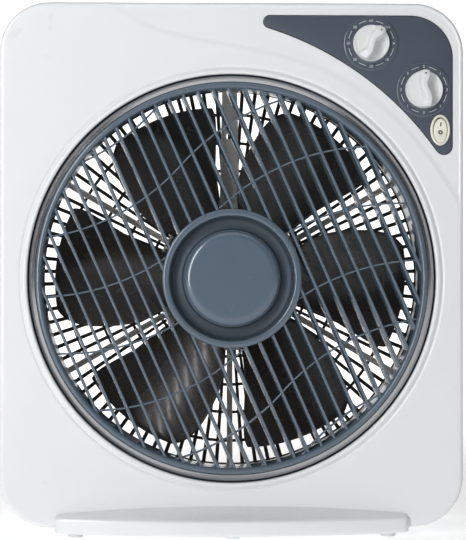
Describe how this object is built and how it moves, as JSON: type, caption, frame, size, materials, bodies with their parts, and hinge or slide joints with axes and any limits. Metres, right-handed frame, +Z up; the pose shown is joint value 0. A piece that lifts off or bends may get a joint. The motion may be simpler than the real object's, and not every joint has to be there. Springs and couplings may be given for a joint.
{
  "type": "box fan",
  "caption": "Free-standing square box fan with a slowly turning round louvre grille, glossy housing, rotary timer and speed dials, rocker switch and a crowned foot.",
  "frame": {"origin": "on the floor, under the middle of the housing", "axes": "+Z up, front face and controls towards -Y, +X to the right seen from the front; the fan axis lies along Y"},
  "size_m": [0.363, 0.156, 0.415],
  "materials": {
    "white_housing": "gloss moulded plastic",
    "white_foot": "gloss moulded plastic",
    "black_guard": "satin",
    "grey_bracket": "satin",
    "zinc_steel": "zinc plated pressed steel",
    "core_steel": "laminated core",
    "copper": "enamelled copper wire",
    "bronze": "sintered bronze",
    "screw_steel": "zinc plated",
    "shaft_steel": "ground",
    "black_blade": "gloss",
    "slate_grille": "gloss",
    "chrome_trim": "gloss",
    "slate_panel": "satin gloss",
    "natural_acetal": "satin",
    "black_rubber": "matte",
    "dial_print": "printed",
    "dark_body": "satin",
    "grey_knob": "satin",
    "cream_switch": "gloss",
    "white_case": "satin",
    "light_rubber": "satin"
  },
  "bodies": {
    "housing": {"front_shell": "white_housing", "rear_shell": "white_housing", "rear_guard": "black_guard", "motor_bracket": "grey_bracket", "motor_front_bell": "zinc_steel", "motor_rear_bell": "zinc_steel", "stator_core": "core_steel", "stator_windings": "copper", "front_bearing": "bronze", "rear_bearing": "bronze", "motor_screws": "screw_steel", "guide_roller_pins": "screw_steel", "swing_motor": "zinc_steel", "swing_motor_screws": "screw_steel", "control_panel": "slate_panel", "dial_marks": "dial_print", "timer_body": "dark_body", "speed_switch": "dark_body", "rocker_housing": "cream_switch", "run_capacitor": "white_case", "terminal_block": "white_case", "foot_base": "white_foot", "foot_pads": "light_rubber", "foot_screws": "screw_steel", "tip_switch": "dark_body", "cord_inlet": "black_rubber", "shell_screws": "screw_steel", "guard_screws": "screw_steel"},
    "fan_rotor": {"motor_shaft": "shaft_steel", "rotor_core": "core_steel", "fan_blade": "black_blade", "blade_nut": "black_blade"},
    "grille": {"swing_grille": "slate_grille", "grille_trim_ring": "chrome_trim", "grille_hub_cap": "slate_grille"},
    "roller_top": {"guide_roller_top": "natural_acetal"},
    "roller_left": {"guide_roller_left": "natural_acetal"},
    "roller_right": {"guide_roller_right": "natural_acetal"},
    "swing_drive": {"drive_wheel": "natural_acetal", "drive_tyre": "black_rubber", "swing_motor_shaft": "shaft_steel"},
    "timer_dial": {"timer_knob": "grey_knob", "timer_spindle": "natural_acetal"},
    "speed_dial": {"speed_knob": "grey_knob", "speed_spindle": "natural_acetal"},
    "rocker_key": {"rocker": "cream_switch"},
    "tip_pin": {"tip_plunger": "light_rubber"}
  },
  "joints": [
    {"name": "fan_spin", "type": "hinge", "parent": "housing", "child": "fan_rotor", "pos_m": [0, 0, 0.1995], "axis": [0, 1, 0], "continuous": true},
    {"name": "grille_spin", "type": "hinge", "parent": "housing", "child": "grille", "pos_m": [0, -0.05, 0.1995], "axis": [0, 1, 0], "continuous": true},
    {"name": "roller_top_spin", "type": "hinge", "parent": "housing", "child": "roller_top", "pos_m": [0, 0, 0.3678], "axis": [0, 1, 0], "continuous": true},
    {"name": "roller_left_spin", "type": "hinge", "parent": "housing", "child": "roller_left", "pos_m": [-0.14575, 0, 0.11535], "axis": [0, 1, 0], "continuous": true},
    {"name": "roller_right_spin", "type": "hinge", "parent": "housing", "child": "roller_right", "pos_m": [0.14575, 0, 0.11535], "axis": [0, 1, 0], "continuous": true},
    {"name": "drive_wheel_spin", "type": "hinge", "parent": "housing", "child": "swing_drive", "pos_m": [-0.13173, 0, 0.06777], "axis": [0, 1, 0], "continuous": true},
    {"name": "timer_turn", "type": "hinge", "parent": "housing", "child": "timer_dial", "pos_m": [0.1079, 0, 0.382], "axis": [0, 1, 0], "range_deg": [0, 323]},
    {"name": "speed_turn", "type": "hinge", "parent": "housing", "child": "speed_dial", "pos_m": [0.149, 0, 0.3462], "axis": [0, 1, 0], "continuous": true},
    {"name": "rocker_tip", "type": "hinge", "parent": "housing", "child": "rocker_key", "pos_m": [0.1617, -0.052, 0.3148], "axis": [1, 0, 0], "range_deg": [-12, 0]},
    {"name": "tip_plunger_slide", "type": "slide", "parent": "housing", "child": "tip_pin", "axis": [0, 0, -1], "range_m": [0, 0.0028], "stiffness_N_per_m": 80, "springref_m": 0.006}
  ],
  "couplings": [
    {"joint": "roller_top_spin", "follows": "grille_spin", "ratio": -27},
    {"joint": "roller_left_spin", "follows": "grille_spin", "ratio": -27},
    {"joint": "roller_right_spin", "follows": "grille_spin", "ratio": -27},
    {"joint": "drive_wheel_spin", "follows": "grille_spin", "ratio": -6.75}
  ]
}
